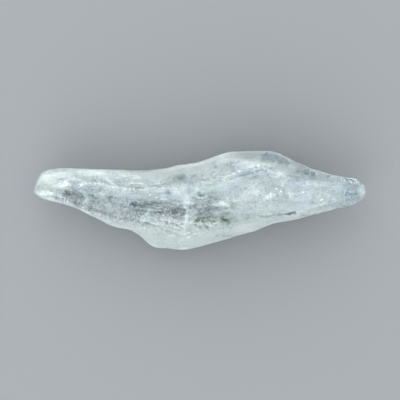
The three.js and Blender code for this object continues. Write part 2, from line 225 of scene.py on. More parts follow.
# Where the quartz is clear instead of milky, as soft ovals seen from above: x and y of the
# middle, half length and half width (all mm), turn (degrees), clearness from 0 to 1. Clear places
# lose their haze, and their skin colour is painted darker: a painted shade for the dark seen through.
clear_ovals = [
    # the thick end's window, and the specks round it
    (-23.8, 0.95, 1.2, 0.6, 0, 1.0), (-23.2, 1.5, 1.3, 0.3, 5, 0.75), (-23.2, 1.1, 2.0, 0.9, 0, 0.6),
    (-22.0, 0.4, 1.6, 1.2, -30, 0.95), (-22.6, 0.3, 1.3, 0.5, -35, 1.0), (-22.7, 2.3, 1.2, 0.9, 0, 0.45),
    (-22.1, 1.6, 0.4, 0.2, 0, 0.8), (-21.7, 0.6, 0.25, 0.3, 0, 0.7), (-23.0, 0.4, 1.2, 0.5, -15, 0.85),
    (-22.15, -0.3, 0.6, 0.28, -35, 1.0), (-21.8, -0.7, 0.3, 0.25, 0, 0.9),
    (-25.3, 1.55, 0.3, 0.35, 0, 0.75), (-24.7, 1.75, 0.3, 0.2, 0, 0.65),
    (-25.6, 0.45, 0.45, 0.3, 30, 0.75), (-25.2, 0.7, 1.2, 0.7, 0, 0.6), (-22.0, 3.2, 1.4, 0.4, 0, 0.5),
    (-24.6, 0.8, 0.6, 0.25, -10, 0.6), (-23.1, 3.4, 0.35, 0.25, 20, 0.6),
    (-24.8, 3.65, 0.35, 0.2, 0, 0.4), (-22.3, 4.1, 0.2, 0.35, 0, 0.4), (-29.2, 2.4, 0.4, 0.22, 0, 0.6),
    (-28.3, 2.05, 0.9, 0.25, 5, 0.45), (-26.6, 1.6, 0.5, 0.2, 0, 0.45), (-29.2, 1.8, 0.8, 1.0, 0, 0.6),
    # the dark band that runs from it to the veil
    (-20.2, 1.25, 0.28, 0.25, 0, 0.75), (-19.6, 0.75, 1.0, 0.6, -10, 0.8),
    (-18.5, -0.3, 1.6, 0.8, -10, 0.78), (-19.2, -0.55, 0.8, 0.45, -10, 0.75),
    (-18.1, -0.9, 0.55, 0.3, 10, 0.8), (-18.0, -0.2, 0.35, 0.18, 0, 0.7),
    (-20.3, -0.3, 0.7, 0.4, -10, 0.5), (-18.7, -1.1, 3.0, 1.0, -18, 0.85),
    (-14.8, -1.2, 2.4, 0.9, -12, 0.68), (-13.0, 0.9, 8.0, 1.3, 0, 0.32), (-16.6, -0.3, 1.6, 1.0, 0, 0.66),
    (-15.8, 0.3, 0.5, 0.4, 0, 0.75), (-16.4, 0.2, 0.3, 0.15, 0, 0.6), (-16.2, -1.9, 2.6, 0.9, -18, 0.92),
    (-14.2, -2.3, 2.6, 1.0, -8, 0.85), (-11.4, 1.6, 0.6, 0.4, 20, 0.5), (-12.0, 1.0, 0.5, 0.2, 45, 0.45),
    (-13.1, 0.4, 0.45, 0.32, 0, 0.6), (-11.7, -0.75, 0.9, 0.42, 0, 1.0), (-10.9, -0.85, 0.4, 0.3, 0, 0.9),
    (-11.6, -1.4, 0.18, 0.15, 0, 0.9), (-9.4, -0.8, 1.6, 0.45, 0, 0.75), (-7.9, -0.4, 0.7, 0.2, 0, 0.75),
    (-6.7, -0.42, 0.8, 0.16, 0, 0.7), (-9.5, -0.8, 3.4, 0.8, 0, 0.36), (-12.1, -2.3, 0.8, 0.7, 0, 0.6),
    (-11.4, -2.6, 0.25, 0.2, 0, 0.7), (-13.0, -2.7, 0.35, 0.25, 0, 0.6), (-10.0, -3.0, 0.3, 0.2, 30, 0.6),
    (-11.8, -2.4, 3.2, 1.2, 0, 0.76), (-7.8, -3.7, 3.2, 0.6, 0, 0.62), (-6.6, 0.6, 2.8, 0.7, 0, 0.4),
    (-8.0, -2.1, 1.8, 0.6, 0, 0.7), (-7.0, -2.4, 0.3, 0.5, 0, 0.8), (-10.0, 1.3, 3.0, 0.8, 0, 0.35),
    (-5.6, 1.3, 0.35, 0.6, 0, 0.75), (-4.4, -0.5, 2.2, 0.5, -5, 0.5), (-8.0, -3.0, 3.0, 1.0, 0, 0.5),
    (-19.0, 2.1, 3.4, 0.9, -5, 0.5), (-14.6, 1.8, 1.4, 0.8, 0, 0.4), (-5.4, 1.5, 1.6, 0.7, 0, 0.35),
    # along the crest, made clear and so painted darker, since milky it would gather too much light: painted
    # shade
    (-9.2, 2.1, 4.4, 0.4, 0, 0.38), (-1.6, 2.45, 3.0, 0.4, 10, 0.38), (3.4, 3.6, 2.8, 0.4, 12, 0.42),
    (7.2, 4.7, 2.4, 0.35, 22, 0.35), (-15.4, 2.4, 2.4, 0.35, -25, 0.35),
    # the darkest window, beside the veil
    (-5.65, -2.2, 0.35, 0.6, 0, 0.85), (-4.6, -2.1, 0.8, 0.7, 0, 0.92), (-4.6, -2.95, 0.45, 0.2, 0, 0.9),
    (-3.3, -2.6, 0.6, 0.4, 0, 0.85), (-2.75, -2.1, 0.3, 0.65, 0, 0.85), (-4.6, -2.2, 2.5, 1.0, 0, 0.72),
    (-3.5, -3.3, 0.7, 0.4, 0, 0.7), (-3.0, -3.5, 3.6, 0.7, 0, 0.5), (-3.5, -1.1, 0.6, 0.2, 40, 0.65),
    # the blue haze above the veil, and the eye and specks beyond it
    (-3.3, 4.0, 1.0, 0.5, 0, 0.65), (-4.8, 3.4, 1.2, 0.45, 10, 0.42), (-1.2, 4.2, 0.6, 0.35, 0, 0.4),
    (-0.25, 1.15, 0.65, 0.28, -15, 0.68), (0.2, 0.8, 0.25, 0.15, 0, 0.6),
    (-0.75, -0.8, 0.3, 0.22, 0, 0.95), (-0.6, -0.9, 0.9, 0.4, 0, 0.5), (2.2, 0.4, 1.0, 0.42, 0, 0.5),
    (1.7, -0.15, 0.18, 0.15, 0, 0.8), (0.6, 0.2, 2.2, 1.2, 0, 0.38), (0.6, 2.8, 2.4, 0.8, 12, 0.5),
    (-2.4, 1.9, 1.8, 0.8, 0, 0.45), (-1.5, -2.3, 1.3, 0.7, 0, 0.25), (-1.9, -1.1, 0.7, 0.6, 0, 0.55),
    (2.0, 3.4, 2.4, 0.5, 8, 0.5), (1.2, 3.3, 1.7, 0.4, 12, 0.62), (-0.6, 2.7, 2.6, 0.5, 18, 0.5),
    (1.8, 1.5, 1.6, 0.45, 0, 0.38), (-3.4, 3.2, 1.8, 0.45, 0, 0.4), (2.4, 2.6, 0.35, 0.18, 0, 0.5),
    (2.85, 5.8, 0.28, 0.2, 0, 0.85), (6.1, 5.4, 0.28, 0.14, 0, 0.6), (0.2, -2.35, 0.22, 0.16, 0, 0.8),
    (1.4, -2.35, 0.2, 0.15, 0, 0.8), (0.8, -1.95, 0.9, 0.25, 0, 0.6), (1.8, -1.9, 2.6, 0.9, 0, 0.42),
    # the upper rim, the shoulder and the thin end
    (9.0, 8.15, 2.6, 0.6, 0, 0.3), (12.4, 7.7, 1.8, 0.9, 0, 0.58), (6.2, 6.6, 1.6, 0.4, 5, 0.4),
    (13.7, 7.5, 0.5, 0.5, 0, 0.7), (14.3, 7.0, 0.7, 0.5, -30, 0.6), (15.4, 6.9, 1.2, 0.6, -28, 0.5),
    (17.6, 5.15, 0.3, 0.2, 0, 0.7), (18.9, 4.8, 0.6, 0.3, 0, 0.85), (20.3, 4.55, 0.4, 0.22, 0, 0.85),
    (20.4, 4.0, 0.9, 0.3, 0, 0.6), (18.4, 4.9, 1.8, 0.7, -12, 0.4), (9.7, 4.1, 0.3, 0.14, 0, 0.5),
    (17.6, 3.7, 1.6, 0.5, -10, 0.5), (1.6, 0.3, 2.6, 0.5, 0, 0.3), (18.4, 5.8, 2.4, 0.5, -28, 0.4),
    (6.2, 4.3, 1.2, 0.4, 8, 0.4), (14.4, -2.2, 2.2, 0.5, 3, 0.4), (20.0, -0.5, 0.5, 0.25, 0, 0.5),
    (21.2, -1.5, 0.45, 0.16, 20, 0.45), (22.2, -1.2, 2.2, 0.4, 12, 0.35),
    (22.0, 3.4, 3.0, 0.6, -14, 0.28), (27.4, 3.1, 1.9, 0.7, -25, 0.7), (26.6, -0.9, 2.0, 0.5, 8, 0.55),
    (27.5, 1.0, 2.2, 2.2, 0, 0.48), (26.8, 0.8, 0.9, 0.6, 0, 0.48), (24.0, -0.6, 1.6, 0.7, 12, 0.35),
    (26.4, 3.2, 0.5, 0.14, 0, 0.65), (29.0, 2.8, 0.35, 0.2, -30, 0.7), (25.3, -0.6, 0.6, 0.5, 0, 0.4),
    (25.2, 3.4, 0.5, 0.25, -35, 0.45), (25.5, 2.8, 1.1, 0.5, -20, 0.45), (15.9, 3.7, 0.9, 0.4, -5, 0.4),
]
# Where it is clear and olive: painted darker like the clear places, and greener.
olive_ovals = [
    (4.2, -3.3, 0.75, 0.6, 0, 1.0), (5.1, -3.7, 0.25, 0.28, 0, 0.9), (-0.4, -3.4, 0.7, 0.4, 0, 1.0),
    (-0.3, -2.8, 0.8, 0.4, 0, 0.66), (0.3, -4.5, 1.3, 0.35, -3, 0.4), (0.4, -3.1, 0.4, 0.2, 0, 0.9),
    (0.65, -3.75, 0.3, 0.28, 0, 1.0), (1.45, -3.15, 0.25, 0.18, 0, 0.9), (1.8, -3.8, 0.22, 0.2, 0, 0.9),
    (2.9, -3.2, 0.22, 0.18, 0, 0.9), (3.6, -3.0, 0.35, 0.25, 0, 0.9), (1.9, -3.4, 3.0, 0.8, 0, 0.74),
    (4.2, -2.6, 1.3, 0.45, 0, 0.62), (6.0, -3.2, 1.0, 0.6, 0, 0.45), (9.0, -2.7, 3.0, 0.6, 0, 0.35),
    (-3.5, -3.4, 0.8, 0.4, 0, 0.5), (-20.0, -1.7, 1.3, 0.4, -20, 0.3),
]
# Clear cracks are painted darker like the clear ovals: painted shade.
clear_cracks = [  # paths seen from above, (x, y) in mm, with a half width and a clearness
    ([(7.0, 4.15), (8.3, 4.65), (9.6, 4.85), (11.5, 5.2), (12.8, 5.85)], 0.11, 0.72),
    ([(3.0, 3.4), (7.0, 4.15)], 0.1, 0.5), ([(11.6, 5.0), (11.9, 4.5), (12.8, 3.2)], 0.12, 0.5),
    ([(9.8, -2.9), (13.0, -2.75), (15.4, -2.55)], 0.13, 0.7), ([(15.4, -2.5), (17.2, -2.35)], 0.17, 1.0),
    ([(-27.5, 0.8), (-26.2, 0.78)], 0.08, 0.6), ([(3.0, -6.3), (6.4, -6.6)], 0.12, 0.5),
    ([(26.0, 1.2), (27.2, 1.12), (28.2, 0.95)], 0.13, 0.9), ([(-8.4, -1.55), (-6.8, -1.6)], 0.1, 0.75),
    ([(-0.2, -4.2), (0.8, -4.7), (2.2, -5.0)], 0.12, 0.5),
    ([(-9.2, -3.2), (-7.6, -3.7), (-6.4, -3.7)], 0.1, 0.4), ([(18.0, -2.85), (20.5, -2.7)], 0.15, 0.5),
    ([(20.5, 5.3), (23.0, 4.3)], 0.1, 0.6),
]
BUBBLE_RIM_MM = 0.11  # half the breadth of a bubble's milky rim
BUBBLE_RIM_CLEAR = 0.35  # how clear the middle of that rim stays
bubble_spots = [  # (x, y, radius) of the larger bubbles in the greenest part, whose rims are milky
    (0.65, -3.75, 0.5), (1.75, -3.7, 0.36), (2.55, -3.8, 0.4), (3.3, -3.4, 0.33), (0.0, -4.1, 0.2),
    (4.0, -3.9, 0.22), (1.25, -4.25, 0.2), (2.1, -4.3, 0.16), (3.1, -4.15, 0.2),
]


def in_ovals(x, y, ovals, wider):
    """The strongest of the soft ovals at each place, from 0 to 1. All arrays in mm."""
    strongest = np.zeros_like(x)
    for middle_x, middle_y, half_length, half_width, turn, strength in ovals:
        c, s = math.cos(math.radians(turn)), math.sin(math.radians(turn))
        off_x, off_y = x - middle_x, y - middle_y
        far = np.hypot((off_x * c + off_y * s) / (half_length + wider),
                       (off_y * c - off_x * s) / (half_width + wider))
        strongest = np.maximum(strongest, strength * np.clip((1.3 - far) / 0.7, 0.0, 1.0))
    return strongest


def near_path(x, y, path, half_width):
    """1 within a half width of a path, and 0 elsewhere. x, y and half_width are arrays in mm."""
    nearest = np.full_like(x, 1e9)
    for (ax, ay), (bx, by) in zip(path, path[1:]):
        along = ((x - ax) * (bx - ax) + (y - ay) * (by - ay)) / ((bx - ax) ** 2 + (by - ay) ** 2)
        along = np.clip(along, 0.0, 1.0)
        nearest = np.minimum(nearest, np.hypot(x - ax - along * (bx - ax), y - ay - along * (by - ay)))
    return (nearest < half_width).astype(float)


def ragged_by(x, y, scale_x, scale_y, seed):
    """Smooth noise from about -0.5 to 0.5 at each place. x and y are arrays in mm."""
    return np.array([noise.noise(Vector((a * scale_x, b * scale_y, seed))) for a, b in zip(x, y)])


def clearness(x, y, wider=0.0):
    """How clear the quartz is at places seen from above, and how olive. wider grows the ovals."""
    ragged_x = x + 0.45 * ragged_by(x, y, 0.8, 1.2, 4.0) + 0.35 * ragged_by(x, y, 2.4, 3.6, 7.0)
    ragged_y = y + 0.3 * ragged_by(x, y, 0.8, 1.2, 14.0) + 0.25 * ragged_by(x, y, 2.4, 3.6, 17.0)
    olive = in_ovals(ragged_x, ragged_y, olive_ovals, wider)
    clear = np.maximum(in_ovals(ragged_x, ragged_y, clear_ovals, wider), olive)
    for path, half_width, strength in clear_cracks:
        worn_width = half_width * (1.0 + ragged_by(x, y, 2.4, 3.6, 27.0))
        clear = np.maximum(clear, strength * near_path(ragged_x, ragged_y, path, worn_width))
    for middle_x, middle_y, radius in bubble_spots:
        off_rim = np.abs(np.hypot(ragged_x - middle_x, ragged_y - middle_y) - radius)
        clear = clear * np.clip(off_rim / BUBBLE_RIM_MM, BUBBLE_RIM_CLEAR, 1.0)
    return clear, olive


def keep_attribute(mesh, name, values):
    """Stores one number a point on a mesh."""
    mesh.attributes.new(name, "FLOAT", "POINT").data.foreach_set("value", values.astype(np.float32))


places = np.empty(3 * len(crystal.data.vertices))
crystal.data.vertices.foreach_get("co", places)
places = places.reshape(-1, 3) / MM
clear, olive = clearness(places[:, 0], places[:, 1])
keep_attribute(crystal.data, "clear", clear)
keep_attribute(crystal.data, "olive", olive)

# Prasiolite is quartz: glassy where the break is clean, slightly greasy where it is worn. It is
# see-through by plain values: one transmission, one IOR and one absorption of pale green.
QUARTZ_IOR = 1.544
quartz = bpy.data.materials.new("prasiolite quartz, broken")
quartz.use_nodes = True
tree = quartz.node_tree
shader = tree.nodes["Principled BSDF"]
output = tree.nodes["Material Output"]
own = add_node(tree, "ShaderNodeTexCoord").outputs["Object"]
place = add_node(tree, "ShaderNodeVectorMath", {"operation": "SCALE"}, {0: own, "Scale": 1 / MM})
cloud = add_node(tree, "ShaderNodeTexNoise", None,
                 {"Vector": place, "Scale": 0.35, "Detail": 5.0, "Roughness": 0.6})
skin_tint = add_node(tree, "ShaderNodeMix", {"data_type": "RGBA"}, {
    "Factor": cloud.outputs[0], "A": linear("#F8FDFA"), "B": linear("#F5F9FE")})
clear_here = add_node(tree, "ShaderNodeAttribute", {"attribute_name": "clear"}).outputs["Fac"]
olive_here = add_node(tree, "ShaderNodeAttribute", {"attribute_name": "olive"}).outputs["Fac"]
half_clear = add_node(tree, "ShaderNodeMapRange", None,
                      {"Value": clear_here, "From Min": 0.0, "From Max": 0.6})
all_clear = add_node(tree, "ShaderNodeMapRange", None,
                     {"Value": clear_here, "From Min": 0.6, "From Max": 1.0})
# Clear places are painted grey-blue and the clearest dark slate in the skin's colour: painted shade for the
# darkness seen through clear quartz.
painted_shade_half_clear = add_node(tree, "ShaderNodeMix", {"data_type": "RGBA"}, {
    "Factor": half_clear, "A": skin_tint, "B": linear("#B2BFC7")})
painted_shade_clear = add_node(tree, "ShaderNodeMix", {"data_type": "RGBA"}, {
    "Factor": all_clear, "A": painted_shade_half_clear, "B": linear("#68767F")})
greener = add_node(tree, "ShaderNodeMix", {"data_type": "RGBA", "blend_type": "MULTIPLY"}, {
    "Factor": olive_here, "A": painted_shade_clear, "B": linear("#D3E0C6")})
tree.links.new(greener.outputs[2], shader.inputs["Base Color"])
glassy = add_node(tree, "ShaderNodeMapRange", None, {
    "Value": cloud.outputs[0], "From Min": 0.3, "From Max": 0.7, "To Min": 0.03, "To Max": 0.13})
worn_here = add_node(tree, "ShaderNodeAttribute", {"attribute_name": "worn"}).outputs["Fac"]
roughness = add_node(tree, "ShaderNodeMath", {"operation": "MULTIPLY_ADD"},
                     {0: worn_here, 1: 0.2, 2: glassy})
tree.links.new(roughness.outputs[0], shader.inputs["Roughness"])
grain = add_node(tree, "ShaderNodeTexNoise", None,
                 {"Vector": place, "Scale": 3.0, "Detail": 4.0, "Roughness": 0.6})
bump = add_node(tree, "ShaderNodeBump", None,
                {"Height": grain.outputs[0], "Strength": 0.5, "Distance": 0.06 * MM})
tree.links.new(bump.outputs[0], shader.inputs["Normal"])
shader.inputs["IOR"].default_value = QUARTZ_IOR
shader.inputs["Transmission Weight"].default_value = 0.94
absorption = add_node(tree, "ShaderNodeVolumeAbsorption", None,
                      {"Color": linear("#CFE8DC"), "Density": 8.0})
tree.links.new(absorption.outputs[0], output.inputs["Volume"])
crystal.data.materials.append(quartz)

# ==== The haze ==============================================================================
# What makes the quartz milky: healed cracks leave flat bubbles of gas and water a tenth of a
# millimetre across, here as a cloud of tiny shards under the skin, thin where it is clear.

HAZE_DRAWN = 540000  # shards drawn; those in clear quartz or in thin cloud are dropped
HAZE_TOP_MM = 0.3  # its depth under the skin, which is less on steep sides, so the rim is pale
HAZE_TOP_STEEP_MM = 0.1
HAZE_DEEP_MM = 2.9
OVAL_SPREAD = 0.14  # how fast clear quartz widens with depth, so that refracted light gets through
SHARD_MIN_MM = 0.045  # half the size of a shard
SHARD_MAX_MM = 0.12
SHARD_TILT = 1.1  # how far a shard leans out of the skin's own direction
SHARD_CLEAR_MM = 0.09  # from a shard's middle to the skin
SHARD_TURNS = (0.0, 2.094, 4.189)  # its three corners, in radians

skin = crystal.data.polygons
skin_tree = BVHTree.FromPolygons([v.co for v in crystal.data.vertices], [list(f.vertices) for f in skin])


def inside(point, margin_mm):
    """Whether a point is under the skin by at least a margin."""
    nearest, normal_out, _, distance = skin_tree.find_nearest(point)
    return distance > margin_mm * MM and (point - nearest).dot(normal_out) < 0.0


def plain_material(name, colour, roughness, metallic=0.0):
    """A material of one colour."""
    material = bpy.data.materials.new(name)
    material.use_nodes = True
    shader = material.node_tree.nodes["Principled BSDF"]
    shader.inputs["Base Color"].default_value = linear(colour)
    shader.inputs["Roughness"].default_value = roughness
    shader.inputs["Metallic"].default_value = metallic
    return material


def add_piece(mesh, name):
    """Makes a mesh a piece of the crystal."""
    piece = bpy.data.objects.new(name, mesh)
    bpy.context.scene.collection.objects.link(piece)
    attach(piece, "root")


def shard_mesh(name, corners, tones, materials):
    """One mesh of loose triangles, from an array of three corners for each, in metres, and one of tones."""
    mesh = bpy.data.meshes.new(name)
    mesh.vertices.add(len(corners))
    mesh.vertices.foreach_set("co", corners.astype(np.float32).ravel())
    mesh.loops.add(len(corners))
    mesh.loops.foreach_set("vertex_index", np.arange(len(corners), dtype=np.int32))
    mesh.polygons.add(len(corners) // 3)
    mesh.polygons.foreach_set("loop_start", np.arange(0, len(corners), 3, dtype=np.int32))
    for material in materials:
        mesh.materials.append(material)
    mesh.polygons.foreach_set("material_index", tones.astype(np.int32))
    mesh.update(calc_edges=True)
    add_piece(mesh, name)


draw = np.random.default_rng(5)
middles = np.empty(3 * len(skin))
normals = np.empty(3 * len(skin))
skin.foreach_get("center", middles)
skin.foreach_get("normal", normals)
normals = normals.reshape(-1, 3)
steep = 1.0 - np.abs(normals[:, 2])
drawn = draw.choice(len(skin), HAZE_DRAWN, p=(0.6 + steep) / (0.6 + steep).sum())
normals = normals[drawn]
starts = middles.reshape(-1, 3)[drawn] + draw.uniform(-0.08, 0.08, (HAZE_DRAWN, 3)) * MM
tops = np.where(np.abs(normals[:, 2]) < 0.5, HAZE_TOP_STEEP_MM, HAZE_TOP_MM)
wanted = (tops + (HAZE_DEEP_MM - tops) * draw.random(HAZE_DRAWN) ** 1.6) * MM
shards, kept = [], []
for index, (start, normal, depth) in enumerate(zip(starts, normals, wanted)):
    start, inward = Vector(start), -Vector(normal)
    far_side = skin_tree.ray_cast(start + inward * 0.1 * MM, inward)
    if far_side[0] is not None:
        shard = start + inward * min(depth, 0.1 * MM + 0.45 * far_side[3])
        if inside(shard, SHARD_CLEAR_MM):
            shards.append(shard)
            kept.append(index)
shards, starts, normals = np.array(shards), starts[kept], normals[kept]


def streaked_noise(places_mm, scale_x, scale_yz, shift, octaves):
    """Fractal noise at each place. A smaller scale_x streaks it along the crystal."""
    return np.array([
        noise.fractal(Vector((x * scale_x, y * scale_yz, z * scale_yz + shift)), 1.0, 2.0, octaves)
        for x, y, z in places_mm])


# The cloud is thick and thin in patches that go straight in from the skin, with finer specks.
patches = streaked_noise(starts / MM, 0.35, 0.8, 0.0, 3)
specks = streaked_noise(starts / MM, 1.8, 3.0, 0.0, 2)
over = [skin_tree.ray_cast(Vector(shard), Vector((0, 0, 1)))[3] or 0.0 for shard in shards]
clear, _ = clearness(shards[:, 0] / MM, shards[:, 1] / MM, OVAL_SPREAD * np.array(over) / MM)
milky = np.clip(0.88 + 0.5 * patches + 0.25 * specks, 0.12, 1.0) * (1.0 - clear)
keep = np.flatnonzero(draw.random(len(shards)) < milky)
shards, starts, normals = shards[keep], starts[keep], normals[keep]


def scattered(centres, normals, smallest_mm, largest_mm):
    """The corners of one triangle at each centre, turned at random but a little along the skin."""
    first = np.cross(normals, draw.normal(size=(len(centres), 3)))
    first /= np.linalg.norm(first, axis=1)[:, None]
    second = np.cross(normals, first) + SHARD_TILT * normals * draw.normal(size=(len(centres), 1))
    first += SHARD_TILT * normals * draw.normal(size=(len(centres), 1))
    for way in (first, second):
        reach = draw.uniform(smallest_mm, largest_mm, (len(centres), 1)) * MM
        way *= reach / np.linalg.norm(way, axis=1)[:, None]
    size = 1.0 + 0.25 * (1.0 - np.abs(normals[:, 2:]))
    corners = [centres + size * (first * math.cos(t) + second * math.sin(t)) for t in SHARD_TURNS]
    return np.stack(corners, axis=1).reshape(-1, 3)


# Bubbles in quartz scatter white light, a little greener, bluer or greyer from place to place. The
# whitest tone goes to shards under steep sides: painted light, which keeps the slopes as bright as the top.
milk = [
    plain_material("fluid bubbles in quartz, white", "#ECF5F3", 0.4),
    plain_material("fluid bubbles in quartz, mint", "#E1F0E7", 0.4),
    plain_material("fluid bubbles in quartz, blue", "#DEEAF5", 0.4),
    plain_material("fluid bubbles in quartz, grey", "#CAD5D9", 0.4),
    plain_material("fluid bubbles in quartz, dense", "#FAFEFC", 0.4),
]
toned = streaked_noise(starts / MM, 0.2, 0.4, 50.0, 3)
greyed = streaked_noise(starts / MM, 0.5, 1.2, 80.0, 4)
bluer = toned + 0.06 * starts[:, 1] / MM + 0.012 * starts[:, 0] / MM + 0.25 * draw.normal(size=len(starts))
# Shards under steep sides get the whitest tone: painted light for slopes that catch less of the light.
painted_bright_steep = draw.random(len(starts)) < np.clip(3.0 * (0.78 - np.abs(normals[:, 2])), 0.0, 0.9)
grey = greyed + 0.3 * draw.normal(size=len(starts)) > 0.4
tones = np.select([painted_bright_steep, grey, bluer > 0.2, bluer < -0.2], [4, 3, 2, 1], 0)
corners = scattered(shards, normals, SHARD_MIN_MM, SHARD_MAX_MM).reshape(-1, 3, 3)
from_left = np.argsort(shards[:, 0], kind="stable")
for name, part in zip(("haze_thick_end", "haze_thin_end"), np.array_split(from_left, 2)):
    shard_mesh(name, corners[part].reshape(-1, 3), tones[part], milk)

# ==== Wisps and veils =======================================================================
# Some healed cracks show as such: wisps along the crystal, and veils of bubbles that hang in it
# like curtains, seen edge on from above.

WISP_COUNT = 1700
WISP_HALF_LENGTH_MM = (0.2, 0.9)  # each pair is the least and the most
WISP_HALF_WIDTH_MM = (0.02, 0.06)
VEIL_HALF_LENGTH_MM = (0.04, 0.12)
VEIL_HALF_WIDTH_MM = (0.03, 0.08)
FIBRE_REACH = (0.12, 0.4)  # half a fibre's length, as a share of its path
FIBRE_HALF_WIDTH_MM = (0.02, 0.05)
FIBRE_POINTS = 7
veil_paths = [  # (path, half width, depth it reaches, number of flakes)
    ([(-2.8, 2.0), (-2.4, 0.4), (-2.6, -1.7)], 0.3, 2.0, 110),
    ([(-2.3, -1.9), (-2.6, -4.4)], 0.2, 2.0, 130), ([(-2.7, -4.4), (-3.1, -6.6)], 0.5, 3.0, 250),
    ([(3.4, 6.9), (7.3, 6.5), (10.0, 6.3)], 0.45, 0.9, 760),
    ([(-25.2, 2.7), (-23.4, 2.9)], 0.35, 0.6, 240), ([(-4.8, 1.2), (-3.2, 1.5)], 0.4, 0.8, 120),
    ([(19.9, -2.3), (22.0, -0.6), (23.3, 0.9)], 0.25, 1.5, 200),
    ([(-27.8, 3.4), (-25.9, 3.8)], 1.0, 0.8, 420), ([(-26.4, 2.6), (-24.6, 2.5)], 0.3, 0.6, 110),
    ([(22.0, -1.3), (23.3, -1.1)], 0.2, 0.6, 120),
    ([(-17.6, 4.4), (-16.0, 3.0), (-14.6, 1.8)], 0.35, 1.0, 400),
    ([(-18.6, 4.4), (-16.2, 4.2)], 0.5, 0.8, 260), ([(6.6, 0.6), (10.6, 1.6)], 1.3, 1.2, 800),
    ([(15.8, 1.8), (16.2, 0.2)], 0.6, 1.2, 200), ([(17.2, 0.6), (22.0, 1.1)], 0.9, 1.6, 420),
    ([(11.4, 0.3), (12.8, 0.8)], 0.4, 0.8, 260), ([(9.6, 6.2), (11.2, 6.3), (12.8, 5.9)], 0.25, 0.6, 240),
    ([(-11.5, -7.2), (-8.0, -8.2)], 0.5, 0.6, 500),
    ([(-7.0, 5.2), (-1.0, 6.2), (3.0, 7.4)], 0.4, 0.6, 800),
    ([(-17.9, 1.25), (-17.2, 0.95)], 0.15, 0.6, 130),
    ([(-0.9, 0.75), (-0.3, 0.35), (0.5, 0.35), (1.2, 0.8)], 0.1, 0.5, 110),
    ([(-0.9, 1.75), (-0.3, 2.0)], 0.12, 0.5, 80), ([(-7.0, 0.2), (-5.9, 0.2)], 0.1, 0.5, 110),
    ([(-7.0, 0.75), (-6.0, 0.75)], 0.1, 0.5, 80),
    ([(-10.6, -3.0), (-9.7, -2.5), (-9.0, -1.9)], 0.1, 0.5, 70),
    ([(5.5, -5.1), (10.5, -4.6)], 0.6, 0.6, 420), ([(15.4, -3.0), (17.6, -2.9)], 0.3, 0.5, 200),
    ([(28.6, 2.2), (29.4, 0.6)], 0.4, 0.5, 260), ([(-6.9, -1.8), (-9.4, -1.8)], 0.1, 0.6, 60),
    ([(3.5, -0.4), (4.4, -0.7)], 0.35, 0.6, 140), ([(-27.3, 0.3), (-26.4, 0.15)], 0.3, 0.5, 260),
    ([(-28.6, 4.5), (-27.6, 4.9)], 0.4, 0.6, 260), ([(3.4, 7.8), (4.7, 8.05)], 0.25, 0.5, 260),
    ([(9.0, -5.1), (10.4, -5.2)], 0.25, 0.5, 200), ([(13.0, -3.6), (15.0, -3.5)], 0.12, 0.5, 150),
    ([(16.2, -3.5), (16.9, -3.4)], 0.2, 0.4, 110), ([(24.6, -1.6), (25.9, -1.6)], 0.1, 0.3, 100),
    ([(13.2, 4.4), (15.6, 5.0)], 0.5, 0.8, 170), ([(7.4, 5.6), (9.6, 5.9)], 0.4, 0.6, 200),
]
curtain_paths = [  # upright healed cracks: (path, half width, depth it reaches, number of fibres)
    ([(-3.0, 2.2), (-2.65, 0.9), (-2.6, -0.3), (-2.85, -1.7)], 0.14, 1.2, 13),
    ([(-2.5, 1.9), (-2.1, 0.7), (-2.05, -0.5), (-2.3, -2.0)], 0.12, 1.2, 11),
    ([(-2.25, -1.6), (-2.35, -3.0), (-2.75, -4.8)], 0.14, 1.2, 26),
    ([(-2.75, -4.6), (-3.1, -6.8)], 0.3, 1.6, 14), ([(-5.2, -1.5), (-5.15, -2.9)], 0.05, 0.4, 4),
    ([(-6.25, -1.5), (-6.2, -2.9)], 0.06, 0.4, 4), ([(-3.85, -1.6), (-3.75, -2.9)], 0.06, 0.4, 5),
    ([(-4.5, -1.5), (-4.45, -2.7)], 0.04, 0.4, 1),
    ([(14.3, 2.1), (14.7, 0.2), (14.9, -2.2)], 0.45, 1.4, 14), ([(16.1, 2.2), (16.0, -0.4)], 0.2, 0.8, 5),
    ([(13.2, 1.6), (13.6, -1.4)], 0.4, 1.2, 6), ([(25.6, 2.9), (25.9, 0.4)], 0.3, 0.6, 8),
    ([(27.6, 2.4), (27.9, 0.2)], 0.3, 0.6, 7), ([(-23.0, 1.9), (-23.1, 0.6)], 0.3, 0.5, 9),
]

rng = random.Random(11)


def streak_direction(x, y):
    """The way the streaks run at a place seen from above: along the crystal, bending with it."""
    swing = noise.noise(Vector((x * 0.12, y * 0.2, 9.0)))
    slope = -0.14 + 0.36 / (1.0 + math.exp(-(x + 2.0 - 1.5 * y) / 3.0)) + 0.35 * swing
    return Vector((1.0, slope, 0.0))


def joined_strips(name, strips, material):
    """One mesh of thin flat strips. A strip is a list of (point, half width as a vector)."""
    points, faces = [], []
    for strip in strips:
        first = len(points)
        for point, half_width in strip:
            points += [point - half_width, point + half_width]
        faces += [(n, n + 2, n + 3, n + 1) for n in range(first, first + 2 * len(strip) - 2, 2)]
    mesh = bpy.data.meshes.new(name)
    mesh.from_pydata(points, [], faces)
    mesh.materials.append(material)
    add_piece(mesh, name)


def under_skin(deepest_mm):
    """A random point under the skin, with the skin's outward normal there, or None if too thin."""
    face = skin[rng.randrange(len(skin))]
    depth = (0.2 + deepest_mm * rng.random() ** 1.6) * MM
    point = face.center - face.normal * depth
    hit = skin_tree.ray_cast(point, -face.normal)
    if hit[0] is None or hit[3] < 0.25 * MM:
        return None, None
    return point, face.normal.copy()


def under_top(x_mm, y_mm, depth_mm):
    """A point at a depth below the upper skin, straight below a place seen from above, or None."""
    hit = skin_tree.ray_cast(Vector((x_mm * MM, y_mm * MM, 0.05)), Vector((0, 0, -1)))
    if hit[0] is None:
        return None, None
    point = hit[0] - Vector((0, 0, depth_mm * MM))
    return (point, hit[1]) if inside(point, 0.08) else (None, None)


